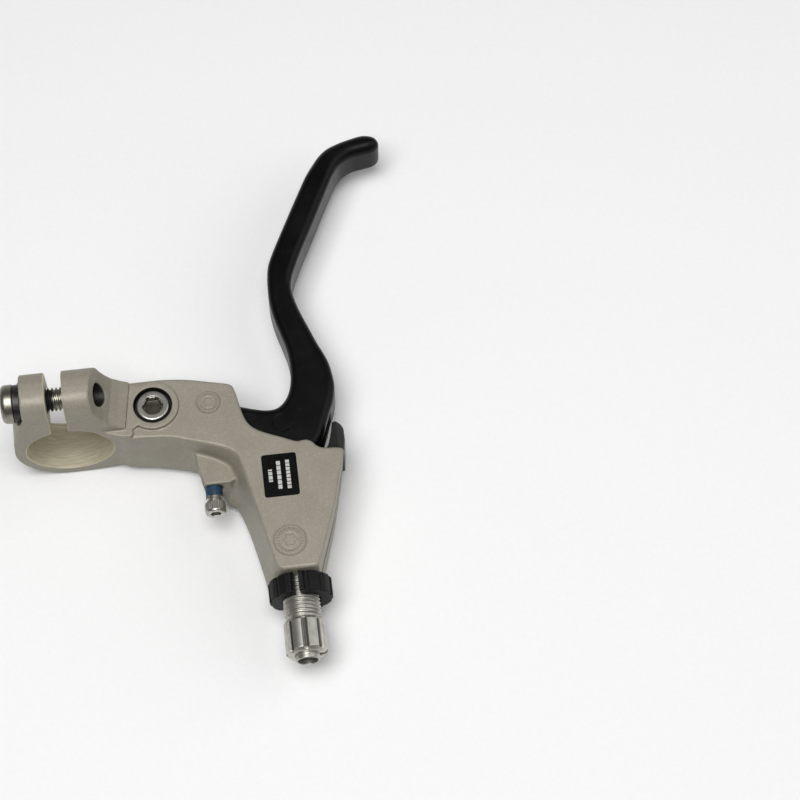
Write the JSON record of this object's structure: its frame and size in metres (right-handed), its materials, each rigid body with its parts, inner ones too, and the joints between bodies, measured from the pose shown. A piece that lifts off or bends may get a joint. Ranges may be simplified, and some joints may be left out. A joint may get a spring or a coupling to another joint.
{
  "type": "bicycle brake lever",
  "caption": "Flat-bar brake lever for a linear-pull rim brake: cast bracket with split bar clamp, hooked two-finger blade, reach screw and slotted cable adjuster.",
  "frame": {"origin": "centre of the handlebar clamp bore, midway along its width", "axes": "+Y along the handlebar, outboard, towards the blade tip; +X from the handlebar towards the blade; +Z out of the face with the pivot bolt head"},
  "size_m": [0.1031, 0.1452, 0.0378],
  "materials": {
    "cast_paint": "satin metallic",
    "blade_paint": "semi gloss",
    "steel": "zinc plated",
    "dark_steel": "black oxide",
    "alloy": "bright turned",
    "bronze": "sintered",
    "black_plastic": "moulded",
    "grey_plastic": "moulded",
    "white_plastic": "low friction",
    "blue_patch": "bonded patch",
    "label": "printed film"
  },
  "bodies": {
    "bracket": {"bracket_body": "cast_paint", "pivot_bolt": "steel", "pivot_nut": "steel", "pivot_washers": "white_plastic", "return_spring": "steel", "nose_cover": "grey_plastic", "label_plate": "label"},
    "reach_stage": {"pivot_bushing_near": "bronze", "pivot_bushing_far": "bronze"},
    "blade": {"lever_blade": "blade_paint", "reach_pad": "steel", "anchor_pin": "blade_paint", "anchor_clip": "dark_steel"},
    "anchor": {"cable_anchor": "steel"},
    "reach_carriage": {"reach_screw_patch": "blue_patch"},
    "reach_adjuster": {"reach_screw": "steel"},
    "clamp_carriage": {"clamp_washer": "dark_steel"},
    "clamp_fastener": {"clamp_bolt": "steel"},
    "barrel_carriage": {"housing_ferrule": "alloy"},
    "barrel": {"barrel_adjuster": "alloy"},
    "barrel_lock": {"lock_ring": "black_plastic"}
  },
  "joints": [
    {"name": "reach_offset", "type": "hinge", "parent": "bracket", "child": "reach_stage", "pos_m": [0.0222, -0.0004, -0.00175], "axis": [0, 0, 1], "range_deg": [0, 10]},
    {"name": "blade_pull", "type": "hinge", "parent": "reach_stage", "child": "blade", "pos_m": [0.0222, -0.0004, -0.00175], "axis": [0, 0, 1], "range_deg": [0, 25], "stiffness_Nm_per_rad": 0.35, "springref_deg": -28.65, "deforming": ["return_spring"]},
    {"name": "anchor_swivel", "type": "hinge", "parent": "blade", "child": "anchor", "pos_m": [0.0544, -0.0072, -0.00175], "axis": [0, 0, 1], "range_deg": [-25, 25]},
    {"name": "reach_screw_travel", "type": "slide", "parent": "bracket", "child": "reach_carriage", "axis": [0, 1, 0], "range_m": [0, 0.00227]},
    {"name": "reach_screw_turn", "type": "hinge", "parent": "reach_carriage", "child": "reach_adjuster", "pos_m": [0.0353, -0.02, -0.00175], "axis": [0, 1, 0], "range_deg": [0, 1180]},
    {"name": "clamp_bolt_travel", "type": "slide", "parent": "bracket", "child": "clamp_carriage", "axis": [-1, 0, 0], "range_m": [0, 0.00399]},
    {"name": "clamp_bolt_turn", "type": "hinge", "parent": "clamp_carriage", "child": "clamp_fastener", "pos_m": [0, 0, 0.0173], "axis": [-1, 0, 0], "range_deg": [0, 1440]},
    {"name": "barrel_travel", "type": "slide", "parent": "bracket", "child": "barrel_carriage", "axis": [0, -1, 0], "range_m": [-0.00499, 0.00499]},
    {"name": "barrel_turn", "type": "hinge", "parent": "barrel_carriage", "child": "barrel", "pos_m": [0.0544, -0.05, -0.00175], "axis": [0, -1, 0], "range_deg": [-1800, 1800]},
    {"name": "lock_ring_turn", "type": "hinge", "parent": "bracket", "child": "barrel_lock", "pos_m": [0.0544, -0.05, -0.00175], "axis": [0, -1, 0], "range_deg": [0, 1080]}
  ],
  "couplings": [
    {"joint": "reach_offset", "follows": "reach_screw_travel", "rad_per_m": 76.923},
    {"joint": "reach_screw_turn", "follows": "reach_screw_travel", "rad_per_m": 8976},
    {"joint": "clamp_bolt_turn", "follows": "clamp_bolt_travel", "rad_per_m": 6283.2},
    {"joint": "barrel_turn", "follows": "barrel_travel", "rad_per_m": 6283.2}
  ]
}
